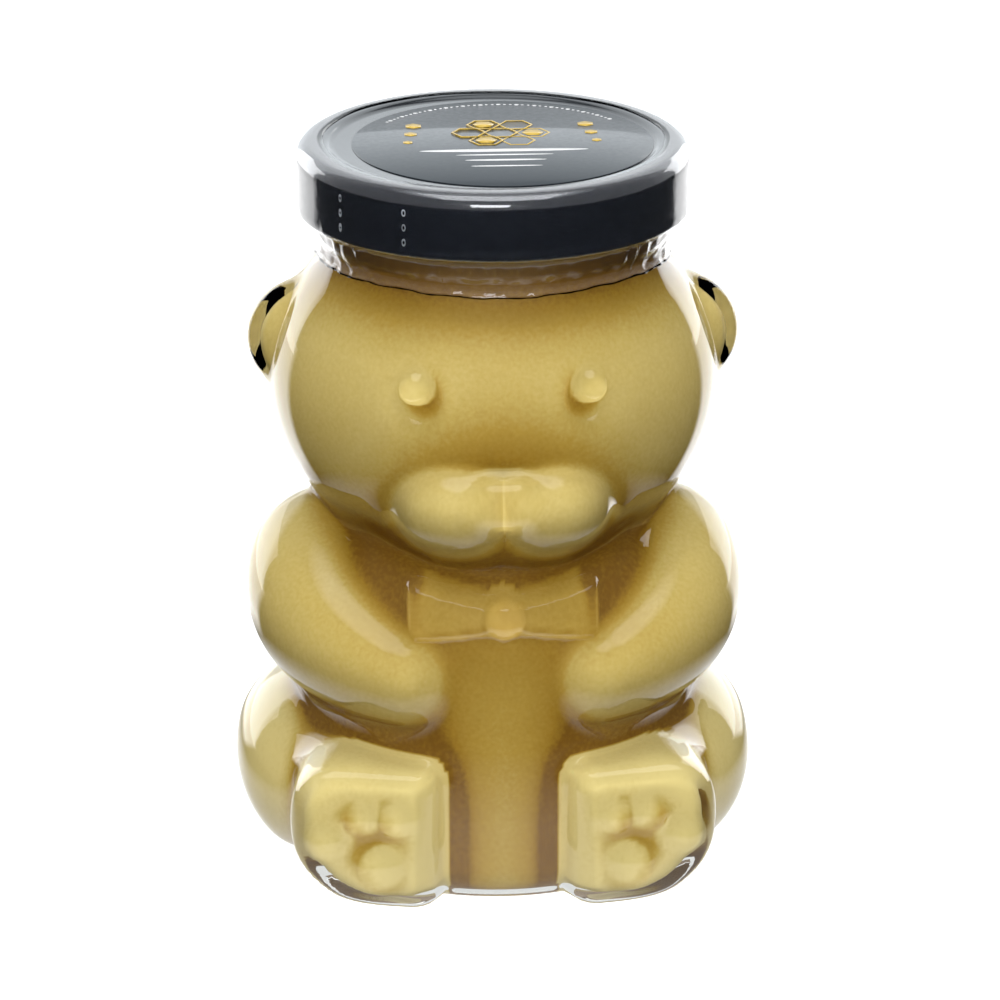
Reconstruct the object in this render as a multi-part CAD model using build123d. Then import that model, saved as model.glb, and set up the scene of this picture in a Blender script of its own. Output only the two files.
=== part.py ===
from build123d import *
import math
import os

import numpy as np

# Bear-shaped glass jar of creamed honey with a twist-off lid.
# Millimetres. X to the right as seen from the front, Y to the back, Z up.
# The origin is on the neck's axis, on the plane that the jar stands on.

# ---- Driving dimensions: glass body ----
WALL = 3.0
TORSO_HALF_WIDTH = 31.5
TORSO_HALF_DEPTH = 33.8
TORSO_HEIGHT = 56.0
TORSO_TOP_ROUND = 16.0
BASE_ROUND = 2.6
BODY_BLEND = 2.2
HEAD_BLEND = 3.0

# Head: an ellipsoid that is let into the torso's top.
HEAD_RADII = (34.9, 33.5, 31.0)
HEAD_SINK = 11.2
CHIN_RADII = (18.0, 12.6, 10.6)
CHIN_INSET = 13.5
CHIN_DROP = 15.0
CHIN_BLEND = 4.0
EAR_RADII = (9.6, 5.0, 9.6)
EAR_INSET = 6.2
EAR_RISE = 6.0
EAR_BLEND = 1.5
MUZZLE_RADII = (10.6, 11.6, 8.6)
MUZZLE_SPREAD = 6.4
MUZZLE_INSET = 7.8
MUZZLE_DROP = 12.4
MUZZLE_BLEND = 2.4
NOSE_RADII = (6.4, 3.8, 4.2)
NOSE_STAND = 1.7
NOSE_DROP = 9.8
NOSE_BLEND = 1.8
EYE_SPREAD = 13.1
EYE_RISE = 6.7
EYE_RADIUS = 2.8
EYE_INSET = 1.6
EYE_BLEND = 0.6
SOCKET_RADIUS = 4.8
SOCKET_SPREAD = 13.6
SOCKET_RISE = 5.8
SOCKET_STAND = 2.4
SOCKET_BLEND = 1.2

# Arms: a round tube that bends about the neck's axis, from shoulder to hand.
ARM_SWEEP = 61.0
SHOULDER_RADIUS = 14.4
SHOULDER_INSET = 7.0
SHOULDER_DROP = 13.6
HAND_RADIUS = 7.8
HAND_INSET = 3.1
HAND_DROP = 20.6

# Legs: a hip and thigh as one ellipsoid, a foot as a rounded block.
HIP_RADII = (15.9, 24.0, 16.0)
HIP_SPREAD = 25.5
HIP_BACK = 2.5
HIP_HEIGHT = 11.2
HIP_TURN_IN = (24.0, 14.0, 18.0)
FOOT_HALF = (11.8, 13.2, 15.6)
FOOT_SPREAD = 19.9
FOOT_INSET = 10.7
FOOT_HEIGHT = 7.0
FOOT_ROUND = 4.2
FOOT_TURN = 11.0
FOOT_LEAN = -3.0
SOLE_HEEL_CURVE = (-2.6, 17.0, 17.6)
SOLE_TOE_CURVE = (3.6, 12.5, 10.6)
LEG_BLEND = 5.0
PAD_PLACES = ((7.7, 10.9, 2.8), (2.5, 14.9, 2.8), (-3.1, 14.9, 2.8), (-0.5, 6.9, 3.5))
PAD_DEPTH = 1.6
PAD_SINK = 0.3
PAD_BLEND = 0.8

# Bow tie, in low relief on the chest.
BOW_HALF_WIDTH = 14.6
BOW_DROP = 9.4
BOW_RELIEF = 1.3
BOW_WAIST = 1.9
BOW_FLARE = 0.172
KNOT_RADII = (3.2, 2.4, 3.0)
BOW_BLEND = 0.6

# ---- Driving dimensions: neck, lid, label, band and filling ----
NECK_RADIUS = 26.4
NECK_BLEND = 3.0
NECK_RISE = 2.2
MOULD_STEP = 0.3
BEAD_STAND = 1.3
BEAD_HEIGHT = 2.1
FINISH_HEIGHT = 13.3
FINISH_STAND = 0.8
RIM_ROUND = 1.0
HEADSPACE = 3.6
LID_GAP = 2.9
LID_METAL = 0.4
LID_SKIRT_START = 4.2
LID_SHOULDER = 2.4
LID_CURL = 0.9
LID_LINER = 0.4
LID_LINER_WIDTH = 4.2
PANEL_RECESS = 0.6
PANEL_EDGE = 5.0
LABEL_MARGIN = 2.2
LABEL_THICKNESS = 0.15
LABEL_SHIFT = 1.5
BAND_THICKNESS = 0.15
BAND_GAP = 0.05
BAND_OVERLAP = 4.1
BAND_EASE = 0.55
BAND_TAIL = 2.2
BAND_FLARE = 1.35

# ---- Inner form: the cavity follows the outside without its small relief ----
INNER_BLEND = 5.0
JOIN = 1.0
TINY = 0.002
SEARCH_RADIUS = 80.0
SEARCH_STEP = 0.4
HALF_TURN_COUNT = 28
ANGLE_CROWDING = 1.25
OUTER_LEVEL_COUNT = 47
INNER_LEVEL_COUNT = 14

# ---- Places that follow from the sizes above ----
HEAD_Z = TORSO_HEIGHT - HEAD_SINK + HEAD_RADII[2]
NECK_Z = HEAD_Z + HEAD_RADII[2] * math.sqrt(1.0 - (NECK_RADIUS / HEAD_RADII[0]) ** 2) + NECK_RISE
RIM_Z = NECK_Z + FINISH_HEIGHT
FILL_Z = RIM_Z - HEADSPACE
FINISH_RADIUS = NECK_RADIUS + FINISH_STAND
BORE_RADIUS = NECK_RADIUS - WALL - MOULD_STEP / 2.0
LID_RADIUS = FINISH_RADIUS + LID_GAP + LID_METAL
LID_BOTTOM_Z = NECK_Z + LID_SKIRT_START
PANEL_Z = RIM_Z + LID_LINER + LID_METAL
LID_TOP_Z = PANEL_Z + PANEL_RECESS
PANEL_RADIUS = LID_RADIUS - PANEL_EDGE
LABEL_RADIUS = PANEL_RADIUS - LABEL_MARGIN


def smooth_min(a, b, reach):
    """Smaller of two distances, with a fillet where they meet."""
    share = np.maximum(reach - np.abs(a - b), 0.0) / reach
    return np.minimum(a, b) - share * share * reach / 4.0


def smooth_max(a, b, reach):
    """Larger of two distances, with a rounded edge where they meet."""
    return -smooth_min(-a, -b, reach)


def ellipsoid(x, y, z, centre, radii):
    """Distance to an ellipsoid, close to true near its surface."""
    px, py, pz = x - centre[0], y - centre[1], z - centre[2]
    scaled = np.sqrt((px / radii[0]) ** 2 + (py / radii[1]) ** 2 + (pz / radii[2]) ** 2) + 1e-9
    slope = np.sqrt((px / radii[0] ** 2) ** 2 + (py / radii[1] ** 2) ** 2 + (pz / radii[2] ** 2) ** 2)
    return scaled * (scaled - 1.0) / (slope + 1e-9)


def corner_curve(across, up, centre, side):
    """Distance to a round corner that trims a block: side 1 above its centre, -1 below."""
    out = np.maximum(across - centre[0], 0.0)
    rise = np.maximum(side * (up - centre[1]), 0.0)
    return np.sqrt(out**2 + rise**2) - centre[2]


def torso(x, y, z):
    """Upright oval barrel with a rounded top."""
    oval = np.sqrt((x / TORSO_HALF_WIDTH) ** 2 + (y / TORSO_HALF_DEPTH) ** 2)
    return smooth_max((oval - 1.0) * TORSO_HALF_WIDTH, z - TORSO_HEIGHT, TORSO_TOP_ROUND)


def arm(side_x, y, z):
    """Tube whose centre line turns about the neck's axis and sinks towards the hand."""
    sweep = math.radians(ARM_SWEEP)
    along = np.clip(np.arctan2(-y, np.maximum(side_x, 0.01)) / sweep, 0.0, 1.0)
    start = TORSO_HALF_WIDTH - SHOULDER_INSET
    reach = start + (TORSO_HALF_DEPTH - HAND_INSET - start) * along
    thickness = SHOULDER_RADIUS + (HAND_RADIUS - SHOULDER_RADIUS) * along**1.35
    level = TORSO_HEIGHT - SHOULDER_DROP + (SHOULDER_DROP - HAND_DROP) * along**0.9
    off_x = side_x - reach * np.cos(sweep * along)
    off_y = y + reach * np.sin(sweep * along)
    return np.sqrt(off_x**2 + off_y**2 + (z - level) ** 2) - thickness


def foot_frame(side_x, y, z):
    """Coordinates in the foot block's own turned and leaning frame."""
    turn, lean = math.radians(FOOT_TURN), math.radians(FOOT_LEAN)
    px = side_x - FOOT_SPREAD
    py = y + TORSO_HALF_DEPTH - FOOT_INSET
    pz = z - FOOT_HEIGHT
    across = math.cos(turn) * px + math.sin(turn) * py
    deep = -math.sin(turn) * px + math.cos(turn) * py
    return across, math.cos(lean) * deep + math.sin(lean) * pz, -math.sin(lean) * deep + math.cos(lean) * pz


def sole_y(side_x, z):
    """Y of the sole's flat face at a place on it."""
    turn, lean = math.radians(FOOT_TURN), math.radians(FOOT_LEAN)
    deep = (-FOOT_HALF[1] - math.sin(lean) * (z - FOOT_HEIGHT)) / math.cos(lean)
    across = (deep + math.sin(turn) * (side_x - FOOT_SPREAD)) / math.cos(turn)
    return across - TORSO_HALF_DEPTH + FOOT_INSET


def leg(side_x, y, z):
    """Hip and thigh, with the foot's block in front."""
    hip = ellipsoid(side_x, y, z, (HIP_SPREAD, HIP_BACK, HIP_HEIGHT), HIP_RADII)
    hip = smooth_max(hip, corner_curve(side_x, z, HIP_TURN_IN, -1), 3.0)
    sides = []
    for place, half in zip(foot_frame(side_x, y, z), FOOT_HALF):
        sides.append(np.abs(place) - half + FOOT_ROUND)
    outside = np.sqrt(sum(np.maximum(side, 0.0) ** 2 for side in sides))
    inside = np.minimum(np.maximum(sides[0], np.maximum(sides[1], sides[2])), 0.0)
    foot = outside + inside - FOOT_ROUND
    for curve, side in ((SOLE_HEEL_CURVE, -1), (SOLE_TOE_CURVE, 1)):
        centre = (FOOT_SPREAD + curve[0], curve[1], curve[2])
        foot = smooth_max(foot, corner_curve(side_x, z, centre, side), 2.0)
    return smooth_min(hip, foot, LEG_BLEND)


def face_relief(shape, x, side_x, y, z):
    """Nose, eye sockets and eyes."""
    nose_at = (0.0, -HEAD_RADII[1] - NOSE_STAND, HEAD_Z - NOSE_DROP)
    shape = smooth_min(shape, ellipsoid(x, y, z, nose_at, NOSE_RADII), NOSE_BLEND)
    socket_front = -head_depth(SOCKET_SPREAD, SOCKET_RISE) - SOCKET_STAND
    socket_at = (SOCKET_SPREAD, socket_front, HEAD_Z + SOCKET_RISE)
    socket = ellipsoid(side_x, y, z, socket_at, (SOCKET_RADIUS,) * 3)
    shape = smooth_max(shape, -socket, SOCKET_BLEND)
    eye_at = (EYE_SPREAD, -head_depth(EYE_SPREAD, EYE_RISE) + EYE_INSET, HEAD_Z + EYE_RISE)
    return smooth_min(shape, ellipsoid(side_x, y, z, eye_at, (EYE_RADIUS,) * 3), EYE_BLEND)


def head_depth(across, rise):
    """Half-depth of the head's ellipsoid at a place on its face."""
    return HEAD_RADII[1] * math.sqrt(1.0 - (across / HEAD_RADII[0]) ** 2 - (rise / HEAD_RADII[2]) ** 2)


def bow_relief(shape, x, side_x, y, z):
    """Bow tie: two flaring wings raised from the chest, and a knot."""
    middle = TORSO_HEIGHT - BOW_DROP
    wing = np.maximum(np.abs(z - middle) - BOW_WAIST - BOW_FLARE * side_x, side_x - BOW_HALF_WIDTH)
    wings = smooth_max(torso(x, y, z) - BOW_RELIEF, wing, 1.2)
    shape = smooth_min(shape, np.maximum(wings, y), BOW_BLEND)
    knot = ellipsoid(x, y, z, (0.0, -TORSO_HALF_DEPTH, middle), KNOT_RADII)
    return smooth_min(shape, knot, BOW_BLEND)


def pad_relief(shape, side_x, y, z):
    """Paw pads: three toes and a heel, as low domes on each sole."""
    for across, level, radius in PAD_PLACES:
        at = (FOOT_SPREAD + across, sole_y(FOOT_SPREAD + across, level) + PAD_SINK, level)
        shape = smooth_min(shape, ellipsoid(side_x, y, z, at, (radius, PAD_DEPTH, radius)), PAD_BLEND)
    return shape


def bear(x, y, z, fine):
    """Signed distance to the bear, negative inside: fine with its small relief."""
    side_x = np.abs(x)
    blend = BODY_BLEND if fine else INNER_BLEND
    head = ellipsoid(x, y, z, (0.0, 0.0, HEAD_Z), HEAD_RADII)
    chin_at = (0.0, CHIN_INSET - HEAD_RADII[1], HEAD_Z - CHIN_DROP)
    head = smooth_min(head, ellipsoid(x, y, z, chin_at, CHIN_RADII), CHIN_BLEND)
    trunk = smooth_min(torso(x, y, z), arm(side_x, y, z), blend)
    trunk = smooth_min(trunk, leg(side_x, y, z), blend)
    shape = smooth_min(head, trunk, HEAD_BLEND if fine else INNER_BLEND)
    ear_at = (HEAD_RADII[0] - EAR_INSET, 0.0, HEAD_Z + EAR_RISE)
    shape = smooth_min(shape, ellipsoid(side_x, y, z, ear_at, EAR_RADII), EAR_BLEND)
    muzzle_at = (MUZZLE_SPREAD, MUZZLE_INSET - HEAD_RADII[1], HEAD_Z - MUZZLE_DROP)
    shape = smooth_min(shape, ellipsoid(side_x, y, z, muzzle_at, MUZZLE_RADII), MUZZLE_BLEND)
    if fine:
        shape = face_relief(shape, x, side_x, y, z)
        shape = bow_relief(shape, x, side_x, y, z)
        shape = pad_relief(shape, side_x, y, z)
    neck = smooth_max(np.sqrt(x**2 + y**2) - NECK_RADIUS, HEAD_Z - z, JOIN)
    shape = smooth_min(shape, neck, NECK_BLEND)
    return smooth_max(shape, -z, BASE_ROUND)


def radius_at(angle, z, fine, inset):
    """Radius of the form, set in by inset, at an angle about the neck's axis and a level."""
    level = np.maximum(z, inset + TINY)
    outer = np.full(angle.shape, SEARCH_RADIUS)
    found = np.zeros(angle.shape, bool)
    while not found.all():
        inner = outer - SEARCH_STEP
        found |= bear(inner * np.cos(angle), inner * np.sin(angle), level, fine) + inset < 0.0
        outer = np.where(found, outer, inner)
    inner = outer - SEARCH_STEP
    for _ in range(20):
        middle = (inner + outer) / 2.0
        solid = bear(middle * np.cos(angle), middle * np.sin(angle), level, fine) + inset < 0.0
        inner = np.where(solid, middle, inner)
        outer = np.where(solid, outer, middle)
    return (inner + outer) / 2.0


def turn_angles():
    """Angles once round the neck's axis, closer together at the face."""
    right = math.pi * np.linspace(0.0, 1.0, HALF_TURN_COUNT + 1) ** ANGLE_CROWDING - math.pi / 2.0
    return np.concatenate([right, math.pi - right[-2:0:-1]])


def level_heights(low, high, count):
    """Heights of the rings: close together at the rounded base, then even."""
    index = np.arange(count)
    steps = 1.0 - 0.8 * np.exp(-((index / 4.0) ** 2))
    heights = np.concatenate([[0.0], np.cumsum(steps)])
    return low + (high - low) * heights / heights[-1]


def form_rings(low, high, count, fine, inset):
    """Rings of points on the form, from the lowest level to the highest."""
    angles = turn_angles()
    heights = level_heights(low, high, count)
    radii = radius_at(*np.meshgrid(angles, heights), fine, inset)
    rings = []
    for row, z in zip(radii, heights):
        rings.append([(r * math.cos(a), r * math.sin(a), z) for r, a in zip(row, angles)])
    return rings


def round_rings(outline):
    """Rings of points round the neck's axis, one for each radius and height of an outline."""
    angles = turn_angles()
    return [[(r * math.cos(a), r * math.sin(a), z) for a in angles] for r, z in outline]


def polygon(points):
    """Flat face with straight edges through points."""
    return Face(Wire.make_polygon([Vector(*point) for point in points], close=True))


def side_faces(rings):
    """Triangles between each ring of points and the one above it."""
    faces = []
    for lower, upper in zip(rings, rings[1:]):
        for k in range(len(lower)):
            after = (k + 1) % len(lower)
            faces.append(polygon((lower[k], lower[after], upper[after])))
            faces.append(polygon((lower[k], upper[after], upper[k])))
    return faces


def faceted_solid(faces):
    """Closed solid of flat faces that share their edges."""
    solid = Solid(Shell(faces))
    return solid if solid.volume > 0.0 else Solid(solid.wrapped.Reversed())


def finish_outline():
    """Outline of the neck ring above the moulded body: a soft bead, a plain wall and a rounded rim."""
    bead_out = NECK_RADIUS + BEAD_STAND
    outline = [(NECK_RADIUS + MOULD_STEP, NECK_Z + TINY)]
    outline += [((NECK_RADIUS + MOULD_STEP + bead_out) / 2.0, NECK_Z + BEAD_HEIGHT / 3.0)]
    outline += [(bead_out, NECK_Z + BEAD_HEIGHT), (FINISH_RADIUS, LID_BOTTOM_Z)]
    for turn in (0.0, 45.0, 90.0):
        across = RIM_ROUND * (1.0 - math.cos(math.radians(turn)))
        up = RIM_ROUND * (1.0 - math.sin(math.radians(turn)))
        outline.append((FINISH_RADIUS - across, RIM_Z - up))
    return outline


def cavity_rings(top):
    """Rings of the space inside the glass up to a level: the moulded form and the neck's bore."""
    body = form_rings(WALL, NECK_Z, INNER_LEVEL_COUNT, False, WALL)
    return body + round_rings([(BORE_RADIUS, NECK_Z + JOIN), (BORE_RADIUS, top)])


def glass_jar():
    """Hollow glass: the bear and its neck ring outside, the cavity inside, the rim between them."""
    outside = form_rings(0.0, NECK_Z, OUTER_LEVEL_COUNT, True, 0.0) + round_rings(finish_outline())
    inside = cavity_rings(RIM_Z)
    faces = side_faces(outside) + side_faces(inside) + side_faces([inside[-1], outside[-1]])
    return faceted_solid(faces + [polygon(outside[0]), polygon(inside[0])])


def honey():
    """Filling up to its level, against the glass on all sides."""
    rings = cavity_rings(FILL_Z)
    return faceted_solid(side_faces(rings) + [polygon(rings[0]), polygon(rings[-1])])


def revolved(edges):
    """Solid of revolution about Z of a closed outline drawn in X and Z."""
    return Solid(revolve(make_face(Wire(edges)), Axis.Z).wrapped)


def polyline_edges(points):
    """Straight edges through points given as radius and height."""
    return [Edge.make_line((a[0], 0, a[1]), (b[0], 0, b[1])) for a, b in zip(points, points[1:])]


def arc_edge(start, middle, end):
    """Arc through three points given as radius and height."""
    return Edge.make_three_point_arc(*[(r, 0, z) for r, z in (start, middle, end)])


def rounded_corner(centre, radius, from_angle, to_angle):
    """Arc about a centre given as radius and height, between two angles in degrees."""
    places = []
    for angle in (from_angle, (from_angle + to_angle) / 2.0, to_angle):
        turn = math.radians(angle)
        places.append((centre[0] + radius * math.cos(turn), centre[1] + radius * math.sin(turn)))
    return arc_edge(*places), places[0], places[2]


def lid():
    """Twist-off lid: rolled curl, skirt, round shoulder, ring, recessed panel and sealing liner."""
    inner = LID_RADIUS - LID_METAL
    curl_at = (LID_RADIUS - LID_CURL, LID_BOTTOM_Z + LID_CURL)
    curl, curl_out, curl_in = rounded_corner(curl_at, LID_CURL, 0, -180)
    shoulder_at = (LID_RADIUS - LID_SHOULDER, LID_TOP_Z - LID_SHOULDER)
    shoulder, shoulder_out, shoulder_in = rounded_corner(shoulder_at, LID_SHOULDER, 0, 90)
    under, under_out, under_in = rounded_corner(shoulder_at, LID_SHOULDER - LID_METAL, 0, 90)
    seal_in = FINISH_RADIUS - LID_LINER_WIDTH
    edges = [shoulder, curl, under]
    edges += polyline_edges([shoulder_in, (PANEL_RADIUS, LID_TOP_Z), (PANEL_RADIUS, PANEL_Z), (0.0, PANEL_Z)])
    edges += polyline_edges([(0.0, PANEL_Z), (0.0, PANEL_Z - LID_METAL), (seal_in, PANEL_Z - LID_METAL)])
    edges += polyline_edges([(seal_in, PANEL_Z - LID_METAL), (seal_in, RIM_Z), (FINISH_RADIUS, RIM_Z)])
    edges += polyline_edges([(FINISH_RADIUS, RIM_Z), (FINISH_RADIUS, LID_TOP_Z - LID_METAL), under_in])
    edges += polyline_edges([under_out, (inner, curl_at[1] + LID_CURL), (curl_in[0], curl_at[1] + LID_CURL)])
    edges += polyline_edges([(curl_in[0], curl_at[1] + LID_CURL), curl_in])
    edges += polyline_edges([curl_out, shoulder_out])
    return revolved(edges)


def lid_label():
    """Round sticker on the lid's panel."""
    return Solid.make_cylinder(LABEL_RADIUS, LABEL_THICKNESS, Plane((LABEL_SHIFT, 0, PANEL_Z)))


def band_side(stand):
    """One face of the shrink band: over the lid's edge, down its skirt and in to the neck."""
    centre = (LID_RADIUS - LID_SHOULDER, LID_TOP_Z - LID_SHOULDER)
    shoulder, shoulder_out, shoulder_in = rounded_corner(centre, LID_SHOULDER + stand, 0, 90)
    top = (LID_RADIUS - BAND_OVERLAP, LID_TOP_Z + stand)
    curl_at = (LID_RADIUS - LID_CURL, LID_BOTTOM_Z + LID_CURL)
    curl, skirt_end, curl_end = rounded_corner(curl_at, LID_CURL + stand, 0, -80)
    bead = (NECK_RADIUS + BEAD_STAND + BAND_EASE + stand, NECK_Z + BEAD_HEIGHT)
    waist = (NECK_RADIUS + MOULD_STEP + BAND_EASE + stand, NECK_Z)
    tail = (NECK_RADIUS + BAND_FLARE + stand, NECK_Z - BAND_TAIL)
    neck = Edge.make_spline([Vector(r, 0, z) for r, z in (curl_end, bead, waist, tail)])
    straights = polyline_edges([top, shoulder_in]) + polyline_edges([shoulder_out, skirt_end])
    return straights + [shoulder, curl, neck], top, tail


def shrink_band():
    """Clear shrink band, a thin skin round the lid's edge and the neck."""
    near, near_top, near_tail = band_side(BAND_GAP)
    far, far_top, far_tail = band_side(BAND_GAP + BAND_THICKNESS)
    return revolved(near + far + polyline_edges([near_top, far_top]) + polyline_edges([near_tail, far_tail]))


def main():
    os.makedirs("parts", exist_ok=True)
    pieces = {
        "glass_jar": glass_jar(),
        "honey": honey(),
        "lid": lid(),
        "lid_label": lid_label(),
        "shrink_band": shrink_band(),
    }
    for name, piece in pieces.items():
        print(name, round(piece.volume), piece.is_valid)
        export_step(piece, f"parts/{name}.step")


main()
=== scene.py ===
import math

import bmesh
import bpy
import numpy as np
from mathutils import Matrix, Vector


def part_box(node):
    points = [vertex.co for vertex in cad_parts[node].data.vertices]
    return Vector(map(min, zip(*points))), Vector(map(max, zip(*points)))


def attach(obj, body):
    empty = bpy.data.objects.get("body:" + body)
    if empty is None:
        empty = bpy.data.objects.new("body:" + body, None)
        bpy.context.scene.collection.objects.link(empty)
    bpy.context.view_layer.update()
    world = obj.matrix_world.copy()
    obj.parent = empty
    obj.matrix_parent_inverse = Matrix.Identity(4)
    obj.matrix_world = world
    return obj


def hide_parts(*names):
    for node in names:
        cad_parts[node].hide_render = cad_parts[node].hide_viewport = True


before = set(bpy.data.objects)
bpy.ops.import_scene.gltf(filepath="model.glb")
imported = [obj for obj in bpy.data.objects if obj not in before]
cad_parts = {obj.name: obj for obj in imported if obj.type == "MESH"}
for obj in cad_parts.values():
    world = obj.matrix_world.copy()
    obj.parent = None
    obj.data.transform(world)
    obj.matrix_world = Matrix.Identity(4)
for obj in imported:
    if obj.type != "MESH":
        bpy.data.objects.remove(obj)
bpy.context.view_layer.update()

MM = 0.001


def node_box(node):
    """Lowest and highest corners of a CAD node, in millimetres."""
    low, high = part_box(node)
    return [value / MM for value in low], [value / MM for value in high]


# Levels and radii that the frame gives, in millimetres.
_, jar_high = node_box("glass_jar")
honey_low, honey_high = node_box("honey")
lid_low, lid_high = node_box("lid")
label_low, label_high = node_box("lid_label")
RIM_Z = jar_high[2]
FILL_Z = honey_high[2]
LID_BOTTOM_Z = lid_low[2]
LID_TOP_Z = lid_high[2]
LID_RADIUS = lid_high[0]
PANEL_Z = label_low[2]
LABEL_RADIUS = (label_high[0] - label_low[0]) / 2.0
LABEL_X = (label_high[0] + label_low[0]) / 2.0
WALL = honey_low[2]

# The bear's own sizes, in millimetres.
TORSO = (31.5, 33.8, 56.0)
HEAD_RADII = (34.9, 33.5, 31.0)
HEAD_Z = 75.8
NECK_RADIUS = 26.4
NECK_Z = LID_BOTTOM_Z - 4.2
BORE_RADIUS = 23.25
FINISH_RADIUS = 27.2
ANGLE_STEPS = 120
BASE_WALL = 1.0


# ---------------------------------------------------------------- the bear's form
def smooth_min(a, b, reach):
    share = np.maximum(reach - np.abs(a - b), 0.0) / reach
    return np.minimum(a, b) - share * share * reach / 4.0


def smooth_max(a, b, reach):
    return -smooth_min(-a, -b, reach)


def ellipsoid(x, y, z, centre, radii):
    px, py, pz = x - centre[0], y - centre[1], z - centre[2]
    scaled = np.sqrt((px / radii[0]) ** 2 + (py / radii[1]) ** 2 + (pz / radii[2]) ** 2) + 1e-9
    slope = np.sqrt((px / radii[0] ** 2) ** 2 + (py / radii[1] ** 2) ** 2 + (pz / radii[2] ** 2) ** 2)
    return scaled * (scaled - 1.0) / (slope + 1e-9)


def corner_curve(across, up, centre, side):
    out = np.maximum(across - centre[0], 0.0)
    rise = np.maximum(side * (up - centre[1]), 0.0)
    return np.sqrt(out**2 + rise**2) - centre[2]


def torso(x, y, z):
    oval = np.sqrt((x / TORSO[0]) ** 2 + (y / TORSO[1]) ** 2)
    return smooth_max((oval - 1.0) * TORSO[0], z - TORSO[2], 16.0)


def arm(side_x, y, z):
    sweep = math.radians(61.0)
    along = np.clip(np.arctan2(-y, np.maximum(side_x, 0.01)) / sweep, 0.0, 1.0)
    reach = 24.5 + 6.2 * along
    thickness = 14.4 - 6.6 * along**1.35
    level = 42.4 - 7.0 * along**0.9
    off_x = side_x - reach * np.cos(sweep * along)
    off_y = y + reach * np.sin(sweep * along)
    return np.sqrt(off_x**2 + off_y**2 + (z - level) ** 2) - thickness


FOOT_TURN, FOOT_LEAN = math.radians(11.0), math.radians(-3.0)
FOOT_AT = (19.9, -23.1, 7.0)
FOOT_HALF = (11.8, 13.2, 15.6)
FOOT_ROUND = 4.2


def sole_y(side_x, z):
    deep = (-FOOT_HALF[1] - math.sin(FOOT_LEAN) * (z - FOOT_AT[2])) / math.cos(FOOT_LEAN)
    return (deep + math.sin(FOOT_TURN) * (side_x - FOOT_AT[0])) / math.cos(FOOT_TURN) + FOOT_AT[1]


def leg(side_x, y, z):
    hip = ellipsoid(side_x, y, z, (25.5, 2.5, 11.2), (15.9, 24.0, 16.0))
    hip = smooth_max(hip, corner_curve(side_x, z, (24.0, 14.0, 18.0), -1), 3.0)
    px, py, pz = side_x - FOOT_AT[0], y - FOOT_AT[1], z - FOOT_AT[2]
    across = math.cos(FOOT_TURN) * px + math.sin(FOOT_TURN) * py
    deep = -math.sin(FOOT_TURN) * px + math.cos(FOOT_TURN) * py
    lean_deep = math.cos(FOOT_LEAN) * deep + math.sin(FOOT_LEAN) * pz
    lean_up = -math.sin(FOOT_LEAN) * deep + math.cos(FOOT_LEAN) * pz
    sides = [np.abs(p) - h + FOOT_ROUND for p, h in zip((across, lean_deep, lean_up), FOOT_HALF)]
    outside = np.sqrt(sum(np.maximum(side, 0.0) ** 2 for side in sides))
    inside = np.minimum(np.maximum(sides[0], np.maximum(sides[1], sides[2])), 0.0)
    foot = outside + inside - FOOT_ROUND
    foot = smooth_max(foot, corner_curve(side_x, z, (17.3, 17.0, 17.6), -1), 2.0)
    foot = smooth_max(foot, corner_curve(side_x, z, (23.5, 12.5, 10.6), 1), 2.0)
    return smooth_min(hip, foot, 5.0)


PADS = ((27.6, 10.9, 2.8), (22.4, 14.9, 2.8), (16.8, 14.9, 2.8), (19.4, 6.9, 3.5))


def small_relief(shape, x, side_x, y, z):
    """Nose, eyes in their sockets, bow tie and paw pads."""
    shape = smooth_min(shape, ellipsoid(x, y, z, (0.0, -35.2, 66.0), (6.4, 3.8, 4.2)), 1.8)
    shape = smooth_max(shape, -ellipsoid(side_x, y, z, (13.6, -32.6, 81.6), (4.8, 4.8, 4.8)), 1.2)
    shape = smooth_min(shape, ellipsoid(side_x, y, z, (13.1, -28.6, 82.5), (2.8, 2.8, 2.8)), 0.6)
    wing = np.maximum(np.abs(z - 46.6) - 1.9 - 0.172 * side_x, side_x - 14.6)
    wings = smooth_max(torso(x, y, z) - 1.3, wing, 1.2)
    shape = smooth_min(shape, np.maximum(wings, y), 0.6)
    shape = smooth_min(shape, ellipsoid(x, y, z, (0.0, -33.8, 46.6), (3.2, 2.4, 3.0)), 0.6)
    for across, level, radius in PADS:
        at = (across, sole_y(across, level) + 0.3, level)
        shape = smooth_min(shape, ellipsoid(side_x, y, z, at, (radius, 1.6, radius)), 0.8)
    return shape


def bear(x, y, z, fine):
    side_x = np.abs(x)
    blend = 2.2 if fine else 5.0
    head = ellipsoid(x, y, z, (0.0, 0.0, HEAD_Z), HEAD_RADII)
    head = smooth_min(head, ellipsoid(x, y, z, (0.0, -20.0, 60.8), (18.0, 12.6, 10.6)), 4.0)
    trunk = smooth_min(torso(x, y, z), arm(side_x, y, z), blend)
    trunk = smooth_min(trunk, leg(side_x, y, z), blend)
    shape = smooth_min(head, trunk, 3.0 if fine else 5.0)
    shape = smooth_min(shape, ellipsoid(side_x, y, z, (28.7, 0.0, 81.8), (9.6, 5.0, 9.6)), 1.5)
    shape = smooth_min(shape, ellipsoid(side_x, y, z, (6.4, -25.7, 63.4), (10.6, 11.6, 8.6)), 2.4)
    if fine:
        shape = small_relief(shape, x, side_x, y, z)
    neck = smooth_max(np.sqrt(x**2 + y**2) - NECK_RADIUS, HEAD_Z - z, 1.0)
    return smooth_max(smooth_min(shape, neck, 3.0), -z, 2.6)


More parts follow.
